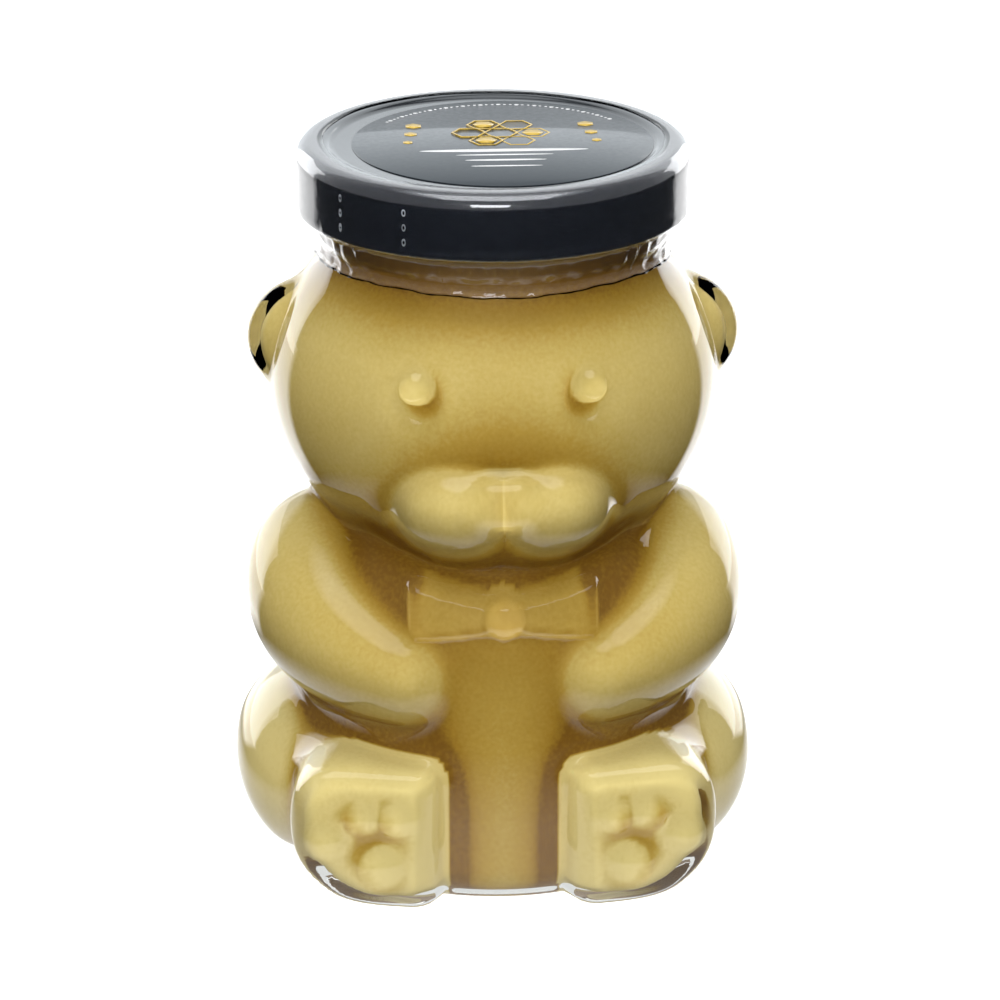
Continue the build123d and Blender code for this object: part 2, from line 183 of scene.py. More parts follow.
def radius_at(angle, z, fine, inset):
    """Radius of the form, set in by inset, at each angle and level."""
    level = np.maximum(z, inset + 0.002)
    outer = np.full(angle.shape, 50.0)
    found = np.zeros(angle.shape, bool)
    while not found.all():
        inner = outer - 0.4
        found |= bear(inner * np.cos(angle), inner * np.sin(angle), level, fine) + inset < 0.0
        outer = np.where(found, outer, inner)
    inner = outer - 0.4
    for _ in range(14):
        middle = (inner + outer) / 2.0
        solid = bear(middle * np.cos(angle), middle * np.sin(angle), level, fine) + inset < 0.0
        inner = np.where(solid, middle, inner)
        outer = np.where(solid, outer, middle)
    return (inner + outer) / 2.0


def turn_angles():
    """Angles once round the neck's axis, closer together at the face."""
    right = math.pi * np.linspace(0.0, 1.0, ANGLE_STEPS + 1) ** 1.25 - math.pi / 2.0
    return np.concatenate([right, math.pi - right[-2::-1]])


ANGLES = turn_angles()


def level_rows(low, high, count):
    """Levels that start close together at the rounded base."""
    steps = 1.0 - 0.8 * np.exp(-((np.arange(count) / 9.0) ** 2))
    heights = np.concatenate([[0.0], np.cumsum(steps)])
    return low + (high - low) * heights / heights[-1]


def form_rows(heights, fine, inset):
    """Radii for each level: one row of the form for each height."""
    angle, level = np.meshgrid(ANGLES, heights)
    if inset:
        level = level + (WALL - BASE_WALL) * np.exp(-(level - BASE_WALL) / 5.0)
    return radius_at(angle, level, fine, inset)


def blurred(radii, along, around):
    """Radii averaged over a few rows and columns, for telling hollows from bulges."""
    result = radii[:, :-1]
    for _ in range(3):
        total = sum(np.roll(result, k, axis=1) for k in range(-around, around + 1))
        result = total / (2 * around + 1)
        padded = np.pad(result, ((along, along), (0, 0)), mode="edge")
        result = sum(padded[k : k + len(radii)] for k in range(2 * along + 1)) / (2 * along + 1)
    return np.concatenate([result, result[:, :1]], axis=1)


# ---------------------------------------------------------------- mesh helpers
def finish_piece(name, bm, material, replaced=()):
    """Turn a bmesh in millimetres into a piece that rides on the jar."""
    bmesh.ops.scale(bm, vec=(MM, MM, MM), verts=bm.verts)
    for face in bm.faces:
        face.smooth = True
    mesh = bpy.data.meshes.new(name)
    bm.to_mesh(mesh)
    bm.free()
    piece = bpy.data.objects.new(name, mesh)
    bpy.context.scene.collection.objects.link(piece)
    mesh.materials.append(material)
    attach(piece, "root")
    if replaced:
        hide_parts(*replaced)
    return piece


def ring_surface(rows, value_rows=None):
    """Closed surface through rows of (radii, heights), once round; end rows of no radius close it."""
    bm = bmesh.new()
    columns = len(ANGLES) - 1
    bmesh.ops.create_grid(bm, x_segments=columns, y_segments=len(rows) - 1, size=1.0)
    # Painted shade per vertex: low values paint highlight, high values paint shade.
    painted_shade = bm.verts.layers.float.new("painted_shade")
    for vert in bm.verts:
        column = round((vert.co.x + 1.0) / 2.0 * columns)
        row = round((vert.co.y + 1.0) / 2.0 * (len(rows) - 1))
        radii, heights = rows[row]
        radius = float(radii[column % columns])
        angle = ANGLES[column % columns]
        height = float(heights[column % columns])
        vert.co = (radius * math.cos(angle), radius * math.sin(angle), height)
        if value_rows is not None:
            vert[painted_shade] = float(value_rows[row][column % columns])
    bmesh.ops.remove_doubles(bm, verts=bm.verts, dist=1e-5)
    bmesh.ops.recalc_face_normals(bm, faces=bm.faces)
    return bm


def level_ring(radius, height):
    """One round row."""
    return np.full(len(ANGLES), float(radius)), np.full(len(ANGLES), float(height))


def lathe(outline, steps=192):
    """Solid of revolution of a closed outline of (radius, height) points."""
    bm = bmesh.new()
    verts = [bm.verts.new((r, 0.0, z)) for r, z in outline]
    edges = [bm.edges.new((a, b)) for a, b in zip(verts, verts[1:])]
    bmesh.ops.spin(
        bm,
        geom=verts + edges,
        cent=(0, 0, 0),
        axis=(0, 0, 1),
        angle=2.0 * math.pi,
        steps=steps,
        use_merge=True,
    )
    bmesh.ops.remove_doubles(bm, verts=bm.verts, dist=1e-5)
    bmesh.ops.recalc_face_normals(bm, faces=bm.faces)
    return bm


def arc(centre, radius, start, end, count):
    """Points of an arc, with angles in degrees."""
    turns = [math.radians(start + (end - start) * k / count) for k in range(count + 1)]
    return [(centre[0] + radius * math.cos(t), centre[1] + radius * math.sin(t)) for t in turns]


# ---------------------------------------------------------------- materials
def new_material(name):
    material = bpy.data.materials.new(name)
    material.use_nodes = True
    nodes = material.node_tree.nodes
    nodes.clear()
    return material, nodes, material.node_tree.links


def grain_group():
    """Fine speckle and slow drift, shared by several finishes."""
    group = bpy.data.node_groups.new("grain", "ShaderNodeTree")
    for label, low, high in (("Size", 1.0, 9000.0), ("Depth", 0.0, 1.0)):
        socket = group.interface.new_socket(name=label, in_out="INPUT", socket_type="NodeSocketFloat")
        socket.min_value, socket.max_value = low, high
    for label in ("Speckle", "Drift"):
        group.interface.new_socket(name=label, in_out="OUTPUT", socket_type="NodeSocketFloat")
    nodes, links = group.nodes, group.links
    inputs, outputs = nodes.new("NodeGroupInput"), nodes.new("NodeGroupOutput")
    place = nodes.new("ShaderNodeTexCoord")
    fine = nodes.new("ShaderNodeTexNoise")
    fine.inputs["Detail"].default_value = 3.0
    links.new(place.outputs["Object"], fine.inputs["Vector"])
    links.new(inputs.outputs["Size"], fine.inputs["Scale"])
    slow = nodes.new("ShaderNodeTexNoise")
    slow.inputs["Scale"].default_value = 55.0
    slow.inputs["Detail"].default_value = 2.0
    links.new(place.outputs["Object"], slow.inputs["Vector"])
    scaled = nodes.new("ShaderNodeMath")
    scaled.operation = "MULTIPLY"
    links.new(fine.outputs["Fac"], scaled.inputs[0])
    links.new(inputs.outputs["Depth"], scaled.inputs[1])
    links.new(scaled.outputs[0], outputs.inputs["Speckle"])
    links.new(slow.outputs["Fac"], outputs.inputs["Drift"])
    return group


GRAIN = grain_group()


def place_grain(nodes, size, depth):
    node = nodes.new("ShaderNodeGroup")
    node.node_tree = GRAIN
    node.inputs["Size"].default_value = size
    node.inputs["Depth"].default_value = depth
    return node


def bumped(nodes, links, height, strength, distance):
    bump = nodes.new("ShaderNodeBump")
    bump.inputs["Strength"].default_value = strength
    bump.inputs["Distance"].default_value = distance
    links.new(height, bump.inputs["Height"])
    return bump.outputs["Normal"]


def clear_material(name, colour, ior, roughness, shadow, ripple):
    """Glass or film that lets lamps light what is behind it."""
    material, nodes, links = new_material(name)
    out = nodes.new("ShaderNodeOutputMaterial")
    mix = nodes.new("ShaderNodeMixShader")
    path = nodes.new("ShaderNodeLightPath")
    clear = nodes.new("ShaderNodeBsdfTransparent")
    clear.inputs["Color"].default_value = (*shadow, 1.0)
    shader = nodes.new("ShaderNodeBsdfPrincipled")
    shader.inputs["Base Color"].default_value = (*colour, 1.0)
    shader.inputs["Roughness"].default_value = roughness
    shader.inputs["IOR"].default_value = ior
    shader.inputs["Transmission Weight"].default_value = 1.0
    grain = place_grain(nodes, ripple[0], 1.0)
    links.new(bumped(nodes, links, grain.outputs["Speckle"], ripple[1], ripple[2]), shader.inputs["Normal"])
    links.new(path.outputs["Is Shadow Ray"], mix.inputs[0])
    links.new(shader.outputs[0], mix.inputs[1])
    links.new(clear.outputs[0], mix.inputs[2])
    links.new(mix.outputs[0], out.inputs["Surface"])
    return material


def honey_material():
    """Creamed honey with a fine crystal grain, its amber set by painted shade: deeper in the hollows, paler
    as painted highlight on the bulges.
    """
    material, nodes, links = new_material("creamed_honey")
    out = nodes.new("ShaderNodeOutputMaterial")
    shader = nodes.new("ShaderNodeBsdfPrincipled")
    shader.inputs["Roughness"].default_value = 0.55
    # Painted shade value, turned by the ramp from pale painted highlight to deep amber painted shade.
    painted_shade = nodes.new("ShaderNodeAttribute")
    painted_shade.attribute_name = "painted_shade"
    grain = place_grain(nodes, 1500.0, 0.26)
    drift = nodes.new("ShaderNodeMath")
    drift.operation = "MULTIPLY_ADD"
    drift.inputs[1].default_value = 0.16
    drift.inputs[2].default_value = -0.21
    links.new(grain.outputs["Drift"], drift.inputs[0])
    first = nodes.new("ShaderNodeMath")
    links.new(painted_shade.outputs["Fac"], first.inputs[0])
    links.new(drift.outputs[0], first.inputs[1])
    second = nodes.new("ShaderNodeMath")
    links.new(first.outputs[0], second.inputs[0])
    links.new(grain.outputs["Speckle"], second.inputs[1])
    ramp = nodes.new("ShaderNodeValToRGB")
    stops = HONEY_STOPS
    while len(ramp.color_ramp.elements) < len(stops):
        ramp.color_ramp.elements.new(0.5)
    for element, (place, colour) in zip(ramp.color_ramp.elements, stops):
        element.position = place
        element.color = (*colour, 1.0)
    links.new(second.outputs[0], ramp.inputs["Fac"])
    links.new(ramp.outputs["Color"], shader.inputs["Base Color"])
    links.new(bumped(nodes, links, grain.outputs["Speckle"], 0.3, 0.0001), shader.inputs["Normal"])
    links.new(shader.outputs[0], out.inputs["Surface"])
    return material


# Honey colours, from pale where painted highlight falls to deep amber where painted shade falls.
HONEY_STOPS = (
    (0.0, (0.70, 0.56, 0.23)),
    (0.3, (0.56, 0.41, 0.115)),
    (0.5, (0.46, 0.295, 0.048)),
    (0.78, (0.34, 0.19, 0.014)),
    (1.0, (0.19, 0.085, 0.002)),
)


def lacquer_material(name, colour, roughness, coat, speckle):
    """Painted or printed surface with a faint orange peel and uneven gloss."""
    material, nodes, links = new_material(name)
    out = nodes.new("ShaderNodeOutputMaterial")
    shader = nodes.new("ShaderNodeBsdfPrincipled")
    shader.inputs["Coat Weight"].default_value = coat
    shader.inputs["Coat Roughness"].default_value = 0.06
    grain = place_grain(nodes, speckle, 1.0)
    tint = nodes.new("ShaderNodeMix")
    tint.data_type = "RGBA"
    tint.inputs[6].default_value = (*[0.82 * c for c in colour], 1.0)
    tint.inputs[7].default_value = (*[1.18 * c for c in colour], 1.0)
    links.new(grain.outputs["Drift"], tint.inputs[0])
    links.new(tint.outputs[2], shader.inputs["Base Color"])
    gloss = nodes.new("ShaderNodeMapRange")
    gloss.inputs["To Min"].default_value = roughness * 0.8
    gloss.inputs["To Max"].default_value = roughness * 1.3
    links.new(grain.outputs["Speckle"], gloss.inputs["Value"])
    links.new(gloss.outputs[0], shader.inputs["Roughness"])
    links.new(bumped(nodes, links, grain.outputs["Speckle"], 0.06, 0.0001), shader.inputs["Normal"])
    links.new(shader.outputs[0], out.inputs["Surface"])
    return material


# ---------------------------------------------------------------- pieces
def glass_jar(material):
    """Moulded jar: base, bear, neck bead and rim outside, plain cavity inside."""
    heights = level_rows(0.0, NECK_Z, 176)
    outside = form_rows(heights, True, 0.0)
    rows = [level_ring(0.0, 0.0)]
    rows += [(outside[0] * share, level_ring(0, 0.0)[1]) for share in (0.3, 0.6, 0.85)]
    rows += [(radii, level_ring(0, height)[1]) for radii, height in zip(outside, heights)]
    bead = [(26.75, NECK_Z + 0.05), (27.3, NECK_Z + 0.8), (27.65, NECK_Z + 1.6), (27.7, NECK_Z + 2.2)]
    bead += [(27.55, NECK_Z + 3.1), (FINISH_RADIUS, NECK_Z + 4.1)]
    rim = arc((FINISH_RADIUS - 1.0, RIM_Z - 1.0), 1.0, 0, 90, 5)
    bore = [(BORE_RADIUS + 0.5, RIM_Z), (BORE_RADIUS, RIM_Z - 0.5), (BORE_RADIUS, NECK_Z)]
    rows += [level_ring(r, z) for r, z in bead + rim + bore]
    inner_heights = level_rows(BASE_WALL, NECK_Z - 1.0, 90)[::-1]
    inside = form_rows(inner_heights, False, WALL)
    rows += [(radii, level_ring(0, height)[1]) for radii, height in zip(inside, inner_heights)]
    rows += [(inside[-1] * share, level_ring(0, BASE_WALL)[1]) for share in (0.6, 0.3)]
    rows.append(level_ring(0.0, BASE_WALL))
    return finish_piece("jar_glass", ring_surface(rows), material, ("glass_jar",))


def honey_fill(material):
    """Honey up to its level, let into the glass so that no gap shows."""
    into = 0.15
    heights = level_rows(BASE_WALL, NECK_Z - 1.0, 150)
    inside = form_rows(heights, False, WALL - into)
    outside = form_rows(heights, True, 0.0)
    # Painted shade, deeper where the form sinks below its blurred surroundings; painted highlight where it
    # bulges.
    depth = (blurred(outside, 12, 7) - outside) / 4.0
    shade = np.clip(0.46 + depth, 0.20, 0.98)
    # Painted shade under the chin, across the bow tie.
    chest_shade = np.exp(-(((heights - 46.0) / 9.0) ** 2))[:, None] * np.clip(-np.sin(ANGLES), 0.0, 1.0) ** 3
    # Painted highlight on the paw pads and painted shade between them, on the soles only.
    low = 1.0 / (1.0 + np.exp((heights - 24.0) / 1.5))[:, None]
    pads = (blurred(outside, 4, 3) - outside) / 1.4
    shade = np.clip(shade + pads * low + 0.42 * chest_shade, 0.0, 0.98)
    # Painted shadow under the lid: the honey in the neck takes the darkest shade.
    neck = 1.0 / (1.0 + np.exp(-(heights - 95.5) / 0.6))[:, None]
    shade = shade * (1.0 - neck) + neck
    # The honey's top under the lid takes the same painted shadow.
    lid_shadow_values = np.full(len(ANGLES), 1.0)
    bottom = BASE_WALL - into
    rows = [level_ring(0.0, bottom), (inside[0] * 0.6, level_ring(0, bottom)[1])]
    values = [shade[0], shade[0]]
    rows += [(radii, level_ring(0, height)[1]) for radii, height in zip(inside, heights)]
    values += list(shade)
    top = [(BORE_RADIUS + into, NECK_Z), (BORE_RADIUS + into, FILL_Z), (BORE_RADIUS * 0.8, FILL_Z - 0.3)]
    top += [(BORE_RADIUS * 0.4, FILL_Z - 0.5), (0.0, FILL_Z - 0.5)]
    rows += [level_ring(r, z) for r, z in top]
    values += [lid_shadow_values] * len(top)
    return finish_piece("honey_fill", ring_surface(rows, values), material, ("honey",))


def lid_shell(material):
    """Twist-off lid with a rolled curl, a round shoulder and a recessed panel."""
    curl_at = (LID_RADIUS - 0.9, LID_BOTTOM_Z + 0.9)
    shoulder_at = (LID_RADIUS - 2.4, LID_TOP_Z - 2.4)
    ring_in = LID_RADIUS - 5.0
    outline = [(0.0, PANEL_Z), (ring_in - 1.2, PANEL_Z), (ring_in - 0.5, PANEL_Z + 0.05)]
    outline += [(ring_in - 0.1, PANEL_Z + 0.3), (ring_in + 0.4, LID_TOP_Z - 0.05), (ring_in + 0.9, LID_TOP_Z)]
    outline += arc(shoulder_at, 2.4, 90, 0, 12)
    outline += [(LID_RADIUS, LID_BOTTOM_Z + 2.6), (LID_RADIUS - 0.12, LID_BOTTOM_Z + 2.2)]
    outline += [(LID_RADIUS - 0.12, LID_BOTTOM_Z + 1.9)]
    outline += arc(curl_at, 0.9, 12, -180, 12)
    outline += [(LID_RADIUS - 1.8, LID_BOTTOM_Z + 1.8), (LID_RADIUS - 0.4, LID_BOTTOM_Z + 2.1)]
    outline += [(LID_RADIUS - 0.4, LID_TOP_Z - 2.4)]
    outline += arc(shoulder_at, 2.0, 0, 90, 6)
    outline += [(FINISH_RADIUS, LID_TOP_Z - 0.4), (FINISH_RADIUS, RIM_Z), (FINISH_RADIUS - 4.2, RIM_Z)]
    outline += [(FINISH_RADIUS - 4.2, PANEL_Z - 0.4), (0.0, PANEL_Z - 0.4)]
    return finish_piece("lid_shell", lathe(outline, 256), material, ("lid",))


def label_disc(material):
    """Round sticker with a softly rounded edge."""
    bm = lathe(
        [(0.0, PANEL_Z), (LABEL_RADIUS, PANEL_Z), (LABEL_RADIUS, PANEL_Z + 0.1)]
        + [(LABEL_RADIUS - 0.06, PANEL_Z + 0.15), (0.0, PANEL_Z + 0.15)],
        160,
    )
    bmesh.ops.translate(bm, vec=(LABEL_X, 0, 0), verts=bm.verts)
    return finish_piece("label_disc", bm, material, ("lid_label",))


INK = 0.03


def add_outline(bm, centre, radius, width, sides, turn=0.0, stretch=(1.0, 1.0)):
    """Flat printed ring of a few or many sides, on the label."""
    made = bmesh.ops.create_circle(bm, cap_ends=True, segments=sides, radius=radius)
    faces = list({face for vert in made["verts"] for face in vert.link_faces})
    if width:
        bmesh.ops.inset_individual(bm, faces=faces, thickness=width)
        bmesh.ops.delete(bm, geom=faces, context="FACES_ONLY")
    faces = [face for face in bm.faces if not face.tag]
    lifted = bmesh.ops.extrude_face_region(bm, geom=faces)
    tops = [item for item in lifted["geom"] if isinstance(item, bmesh.types.BMVert)]
    bmesh.ops.translate(bm, vec=(0, 0, INK), verts=tops)
    verts = [vert for vert in bm.verts if not vert.tag]
    place = Matrix.Translation((centre[0], centre[1], PANEL_Z + 0.14))
    place = place @ Matrix.Diagonal((stretch[0], stretch[1], 1.0, 1.0)) @ Matrix.Rotation(turn, 4, "Z")
    bmesh.ops.transform(bm, matrix=place, verts=verts)
    for item in list(bm.verts) + list(bm.faces):
        item.tag = True


def add_bar(bm, centre, length, height):
    """Plain bar with rounded ends."""
    add_outline(bm, centre, height / 2.0, 0.0, 24, 0.0, (length / height, 1.0))


CELL = 2.75
CELL_STEP = CELL * math.sqrt(3.0) * 1.04


def comb_places(rings):
    """Centres of a honeycomb, as (column, row) steps."""
    for a in range(-rings, rings + 1):
        for b in range(-rings, rings + 1):
            if abs(a + b) <= rings:
                yield a, b


def label_print(gold, white):
    """A plain comb, bars and dots, with a fine ring near the label's edge."""
    bm = bmesh.new()
    for a, b in comb_places(1):
        centre = (LABEL_X + CELL_STEP * (a + b / 2.0), 5.2 + CELL_STEP * math.sqrt(0.75) * b)
        add_outline(bm, centre, CELL, 0.34, 6, math.pi / 6.0)
        if (a + 2 * b) % 3 == 1:
            add_outline(bm, centre, CELL * 0.62, 0.0, 6, math.pi / 6.0)
    for side in (-1, 1):
        for k in range(3):
            centre = (LABEL_X + side * (13.4 + 0.6 * k), 9.6 - CELL_STEP * k * 0.9)
            add_outline(bm, centre, CELL * (0.5 - 0.1 * k), 0.0, 6, 0.0)
    add_outline(bm, (LABEL_X, -9.4), 1.5, 0.22, 40, 0.0, (6.2, 1.0))
    finish_piece("label_gold", bm, gold)
    bm = bmesh.new()
    add_outline(bm, (LABEL_X, 0.0), LABEL_RADIUS - 0.45, 0.28, 160)
    for centre, length, height in (
        ((LABEL_X, -4.2), 26.0, 1.5),
        ((LABEL_X, -6.6), 15.0, 0.6),
        ((LABEL_X, -9.4), 12.5, 0.8),
        ((LABEL_X, -12.6), 11.0, 0.55),
    ):
        add_bar(bm, centre, length, height)
    for k in range(44):
        turn = math.radians(35.0 + 110.0 * k / 43.0)
        centre = (LABEL_X + (LABEL_RADIUS - 2.1) * math.cos(turn), (LABEL_RADIUS - 2.1) * math.sin(turn))
        add_outline(bm, centre, 0.24 if k % 3 else 0.38, 0.0, 8)
    finish_piece("label_white", bm, white)


def bump_at(value, centre, width):
    """Smooth hump of height 1."""
    return math.exp(-(((value - centre) / width) ** 2))


def angle_gap(angle, other):
    """Signed difference of two angles, in degrees."""
    return (math.degrees(angle) - other + 180.0) % 360.0 - 180.0


def film_radius(angle, radius, z):
    """Where the shrunk film stands at an angle, given its plain radius and level."""
    low = max(0.0, min(1.0, (LID_BOTTOM_Z + 1.0 - z) / 2.0))
    waves = 0.5 + 0.5 * math.sin(9.0 * angle + 2.0 * math.sin(3.0 * angle))
    ripple = 0.10 * math.sin(41.0 * angle + 0.8 * z) + 0.07 * math.sin(67.0 * angle - 1.3 * z)
    radius += low * (0.22 * waves + ripple * (0.4 + 0.6 * waves))
    for centre, width, level, tall, height in FILM_PUCKERS:
        gap = angle_gap(angle, centre)
        radius += height * bump_at(gap, 0.0, width) * bump_at(z, level, tall)
    return radius


FILM_PUCKERS = (
    (-142.0, 5.0, 99.0, 1.6, 0.7),
    (-138.0, 1.2, 100.5, 3.0, 0.35),
    (-131.0, 2.6, 98.0, 1.3, 0.45),
    (-98.0, 3.2, 99.4, 0.7, 0.40),
    (-86.0, 2.0, 99.0, 0.6, 0.35),
    (-50.0, 2.2, 99.5, 2.5, 0.50),
    (-44.0, 1.3, 100.0, 3.0, 0.45),
    (-38.0, 1.6, 99.0, 2.6, 0.50),
    (-150.0, 1.5, 100.0, 3.0, 0.40),
    (60.0, 3.0, 99.0, 2.0, 0.50),
    (120.0, 2.0, 99.5, 2.5, 0.45),
)


def shrink_film(material):
    """Clear film over the lid's edge, down its skirt and drawn in to the neck."""
    top = [(LID_RADIUS - 4.1, LID_TOP_Z + 0.06), (LID_RADIUS - 3.2, LID_TOP_Z + 0.07)]
    shoulder = arc((LID_RADIUS - 2.4, LID_TOP_Z - 2.4), 2.48, 90, 0, 12)
    skirt = [(LID_RADIUS + 0.08, LID_TOP_Z - 2.4 - 0.8 * k) for k in range(1, 9)]
    curl = arc((LID_RADIUS - 0.9, LID_BOTTOM_Z + 0.9), 0.99, -10, -80, 6)
    neck = [(28.9, 101.9), (28.5, 101.2), (28.3, 100.5), (28.1, 99.8), (27.8, 99.1), (27.4, 98.4)]
    neck += [(27.25, 97.8), (27.3, 97.2), (27.5, 96.7), (27.75, 96.25)]
    profile = top + shoulder + skirt + curl + neck
    bm = bmesh.new()
    columns = 360
    bmesh.ops.create_grid(bm, x_segments=columns, y_segments=len(profile) - 1, size=1.0)
    for vert in bm.verts:
        column = round((vert.co.x + 1.0) / 2.0 * columns) % columns
        row = round((vert.co.y + 1.0) / 2.0 * (len(profile) - 1))
        angle = 2.0 * math.pi * column / columns
        radius, z = profile[row]
        if row < 2:
            radius += 0.18 * math.sin(3 * angle + 1.0) + 0.07 * math.sin(11 * angle)
        if row > len(profile) - 4:
            z += 0.18 * math.sin(5 * angle) + 0.08 * math.sin(23 * angle)
        radius = film_radius(angle, radius, z)
        vert.co = (radius * math.cos(angle), radius * math.sin(angle), z)
    bmesh.ops.remove_doubles(bm, verts=bm.verts, dist=1e-5)
    bmesh.ops.recalc_face_normals(bm, faces=bm.faces)
    piece = finish_piece("shrink_film", bm, material, ("shrink_band",))
    thick = piece.modifiers.new("thickness", "SOLIDIFY")
    thick.thickness = 0.05 * MM
    thick.offset = 1.0
    return piece


def perforations(material):
    """Two tear lines: upright rows of small raised rings on the film."""
    bm = bmesh.new()
    for centre in (-142.0, -119.0):
        turn = math.radians(centre)
        for k in range(3):
            z = LID_BOTTOM_Z + 2.4 + 2.35 * k
            made = bmesh.ops.create_circle(bm, cap_ends=True, segments=20, radius=0.42)
            verts = made["verts"]
            faces = list({face for vert in verts for face in vert.link_faces})
            bmesh.ops.inset_individual(bm, faces=faces, thickness=0.13)
            ring = [face for face in bm.faces if face not in faces and not face.tag]
            bmesh.ops.delete(bm, geom=faces, context="FACES_ONLY")
            lifted = bmesh.ops.extrude_face_region(bm, geom=ring)
            tops = [item for item in lifted["geom"] if isinstance(item, bmesh.types.BMVert)]
            bmesh.ops.translate(bm, vec=(0, 0, 0.06), verts=tops)
            fresh = [vert for vert in bm.verts if not vert.tag]
            place = Matrix.Rotation(turn, 4, "Z") @ Matrix.Translation((LID_RADIUS + 0.1, 0, z))
            place = place @ Matrix.Rotation(math.pi / 2, 4, "Y") @ Matrix.Diagonal((1.3, 0.75, 1, 1))
            bmesh.ops.transform(bm, matrix=place, verts=fresh)
            for item in list(bm.verts) + list(bm.faces):
                item.tag = True
    bmesh.ops.recalc_face_normals(bm, faces=bm.faces)
    return finish_piece("film_perforations", bm, material)


# ---------------------------------------------------------------- stage
def studio_floor():
    """Pale floor that keeps the jar's soft shadow."""
    bm = bmesh.new()
    bmesh.ops.create_grid(bm, x_segments=1, y_segments=1, size=3.0)
    mesh = bpy.data.meshes.new("floor")
    bm.to_mesh(mesh)
    bm.free()
    floor = bpy.data.objects.new("floor", mesh)
    bpy.context.scene.collection.objects.link(floor)
    material, nodes, links = new_material("pale_floor")
    out = nodes.new("ShaderNodeOutputMaterial")
    matt = nodes.new("ShaderNodeBsdfDiffuse")
    matt.inputs["Color"].default_value = (0.8, 0.8, 0.8, 1.0)
    glow = nodes.new("ShaderNodeEmission")
    glow.inputs["Strength"].default_value = 0.75
    add = nodes.new("ShaderNodeAddShader")
    links.new(matt.outputs[0], add.inputs[0])
    links.new(glow.outputs[0], add.inputs[1])
    unseen = nodes.new("ShaderNodeEmission")
    links.new(floor_glow(nodes, links), unseen.inputs["Strength"])
    path = nodes.new("ShaderNodeLightPath")
    mix = nodes.new("ShaderNodeMixShader")
    links.new(path.outputs["Is Camera Ray"], mix.inputs[0])
    links.new(unseen.outputs[0], mix.inputs[1])
    links.new(add.outputs[0], mix.inputs[2])
    links.new(mix.outputs[0], out.inputs["Surface"])
    mesh.materials.append(material)


def floor_glow(nodes, links):
    """Floor's light in reflections and through the glass: lit near the jar and behind it."""
    _, mirrored, through, lighting = ray_kinds(nodes, links)
    place = nodes.new("ShaderNodeTexCoord")
    reach = nodes.new("ShaderNodeVectorMath")
    reach.operation = "LENGTH"
    links.new(place.outputs["Object"], reach.inputs[0])
    near = ranged(nodes, links, reach.outputs["Value"], 0.062, 0.095, 1.0, 0.0)
    parts = nodes.new("ShaderNodeSeparateXYZ")
    links.new(place.outputs["Object"], parts.inputs[0])
    turned = paired(nodes, links, "DIVIDE", parts.outputs["Y"], reach.outputs["Value"])
    behind = ranged(nodes, links, turned, 0.52, 0.60, 0.0, 1.0)
    away = ranged(nodes, links, reach.outputs["Value"], 0.08, 0.12, 0.0, 1.0)
    behind = paired(nodes, links, "MULTIPLY", behind, away)
    lit = paired(nodes, links, "MAXIMUM", near, behind)
    back = paired(nodes, links, "MULTIPLY", behind, MIRRORED_BACK)
    bright = paired(nodes, links, "MAXIMUM", back, paired(nodes, links, "MULTIPLY", near, MIRRORED_FLOOR))
    shares = [paired(nodes, links, "MULTIPLY", mirrored, bright)]
    spread = ranged(nodes, links, lit, 0.0, 1.0, 0.06, 1.0)
    for kind, strength in ((through, THROUGH_FLOOR), (lighting, LIGHTING_FLOOR)):
        share = paired(nodes, links, "MULTIPLY", kind, strength)
        shares.append(paired(nodes, links, "MULTIPLY", share, spread))
    return largest(nodes, links, shares)


MIRRORED_BACK = 2.6
LIGHTING_FLOOR = 0.3
MIRRORED_FLOOR = 1.3
THROUGH_FLOOR = 0.5


def paired(nodes, links, operation, first, second):
    """One step of arithmetic on a socket and a socket or a plain number."""
    node = nodes.new("ShaderNodeMath")
    node.operation = operation
    links.new(first, node.inputs[0])
    if isinstance(second, float):
        node.inputs[1].default_value = second
    else:
        links.new(second, node.inputs[1])
    return node.outputs[0]


def ranged(nodes, links, value, low, high, at_low, at_high):
    """Value mapped to a new range and kept inside it."""
    node = nodes.new("ShaderNodeMapRange")
    node.inputs["From Min"].default_value = low
    node.inputs["From Max"].default_value = high
    node.inputs["To Min"].default_value = at_low
    node.inputs["To Max"].default_value = at_high
    links.new(value, node.inputs["Value"])
    return node.outputs[0]


def ray_kinds(nodes, links):
    """1 or 0 for a ray that is seen straight, mirrored, seen through glass, or only lights a surface."""
    path = nodes.new("ShaderNodeLightPath")
    straight, through = path.outputs["Is Camera Ray"], path.outputs["Is Transmission Ray"]
    bounced = paired(nodes, links, "SUBTRACT", path.outputs["Is Glossy Ray"], through)
    mirrored = paired(nodes, links, "MAXIMUM", bounced, 0.0)
    known = paired(nodes, links, "MAXIMUM", paired(nodes, links, "MAXIMUM", straight, through), mirrored)
    lighting = paired(nodes, links, "LESS_THAN", known, 0.5)
    return straight, mirrored, through, lighting


def largest(nodes, links, sockets):
    """Largest of several sockets."""
    total = sockets[0]
    for socket in sockets[1:]:
        total = paired(nodes, links, "MAXIMUM", total, socket)
    return total


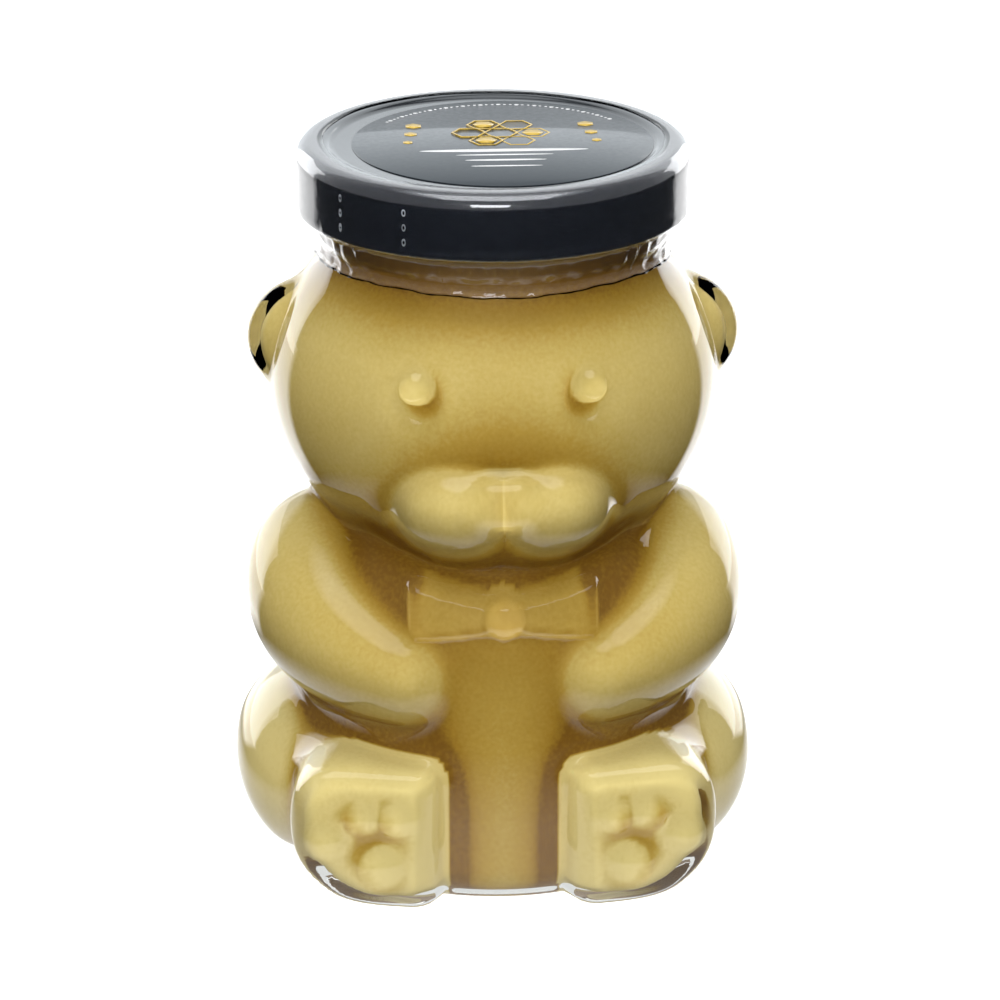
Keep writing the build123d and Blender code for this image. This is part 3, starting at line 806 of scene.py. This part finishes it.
def studio_world():
    """White behind the jar for the camera and for reflections, darker on the camera's side."""
    world = bpy.data.worlds.new("studio")
    bpy.context.scene.world = world
    world.use_nodes = True
    nodes, links = world.node_tree.nodes, world.node_tree.links
    nodes.clear()
    out = nodes.new("ShaderNodeOutputWorld")
    place = nodes.new("ShaderNodeTexCoord")
    parts = nodes.new("ShaderNodeSeparateXYZ")
    links.new(place.outputs["Generated"], parts.inputs[0])
    straight, mirrored, through, lighting = ray_kinds(nodes, links)
    behind = ranged(nodes, links, parts.outputs["Y"], 0.56, 0.64, 0.0, 1.6)
    outward = paired(nodes, links, "MULTIPLY", parts.outputs["X"], parts.outputs["X"])
    behind = paired(nodes, links, "MULTIPLY", behind, paired(nodes, links, "ADD", outward, 1.0))
    behind = paired(nodes, links, "MAXIMUM", behind, 0.012)
    above = ranged(nodes, links, parts.outputs["Z"], 0.85, 0.91, 0.0, 2.2)
    panels = paired(nodes, links, "MAXIMUM", behind, above)
    around = ranged(nodes, links, parts.outputs["Y"], 0.2, 0.7, 0.5, 0.95)
    shares = [straight, paired(nodes, links, "MULTIPLY", mirrored, panels)]
    shares.append(paired(nodes, links, "MULTIPLY", through, around))
    shares.append(paired(nodes, links, "MULTIPLY", lighting, 0.5))
    back = nodes.new("ShaderNodeBackground")
    tint = nodes.new("ShaderNodeMix")
    tint.data_type = "RGBA"
    tint.inputs[6].default_value = (1.0, 1.0, 1.0, 1.0)
    tint.inputs[7].default_value = (0.90, 0.96, 1.0, 1.0)
    links.new(mirrored, tint.inputs[0])
    links.new(tint.outputs[2], back.inputs["Color"])
    links.new(largest(nodes, links, shares), back.inputs["Strength"])
    links.new(back.outputs[0], out.inputs["Surface"])


def soft_lamp(name, place, aim, size, power):
    data = bpy.data.lights.new(name, "AREA")
    data.shape = "RECTANGLE"
    data.size, data.size_y = size
    data.energy = power
    lamp = bpy.data.objects.new(name, data)
    bpy.context.scene.collection.objects.link(lamp)
    lamp.location = place
    lamp.rotation_euler = (Vector(aim) - Vector(place)).to_track_quat("-Z", "Y").to_euler()
    return lamp


def studio_lamps():
    above = soft_lamp("overhead", (0.0, -0.10, 0.85), (0.0, 0.0, 0.06), (0.6, 0.5), 4.0)
    above.visible_glossy = False
    soft_lamp("left_panel", (-0.60, 0.75, 0.25), (0.0, 0.0, 0.06), (0.6, 0.6), 2.0)
    soft_lamp("right_panel", (0.60, 0.75, 0.25), (0.0, 0.0, 0.06), (0.6, 0.6), 2.0)
    fill = soft_lamp("front_fill", (-0.1, -1.3, 0.75), (0.0, 0.0, 0.06), (0.5, 0.4), 9.5)
    fill.visible_glossy = False


def studio_camera():
    """Camera a little above the lid and slightly to the left of the face."""
    distance, height, around = 0.900, 0.376, math.radians(3.0)
    place = Vector((-distance * math.sin(around), -distance * math.cos(around), height))
    aim = Vector((0.0011, 0.0, 0.054))
    data = bpy.data.cameras.new("camera")
    data.lens = 218.7
    data.sensor_width = 36.0
    data.clip_start = 0.01
    camera = bpy.data.objects.new("camera", data)
    bpy.context.scene.collection.objects.link(camera)
    camera.location = place
    camera.rotation_euler = (aim - place).to_track_quat("-Z", "Y").to_euler()
    bpy.context.scene.camera = camera


def main():
    bpy.context.scene.view_settings.view_transform = "Standard"
    studio_camera()
    studio_floor()
    studio_world()
    studio_lamps()
    ripple = (70.0, 0.05, 0.0005)
    glass = clear_material("jar_glass", (0.935, 0.975, 0.925), 1.5, 0.0, (0.97, 0.98, 0.96), ripple)
    ripple = (260.0, 0.12, 0.0003)
    film = clear_material("shrink_film", (0.97, 0.98, 1.0), 1.42, 0.02, (0.98, 0.98, 0.98), ripple)
    glass_jar(glass)
    honey_fill(honey_material())
    lid_shell(lacquer_material("black_lacquer", (0.006, 0.0075, 0.011), 0.22, 0.6, 900.0))
    label_disc(lacquer_material("label_stock", (0.020, 0.027, 0.034), 0.34, 0.3, 1400.0))
    gold = lacquer_material("gold_ink", (0.62, 0.42, 0.06), 0.35, 0.2, 1400.0)
    white = lacquer_material("white_ink", (0.78, 0.79, 0.80), 0.4, 0.2, 1400.0)
    label_print(gold, white)
    shrink_film(film)
    perforations(lacquer_material("film_edge", (0.55, 0.58, 0.62), 0.4, 0.2, 900.0))


main()
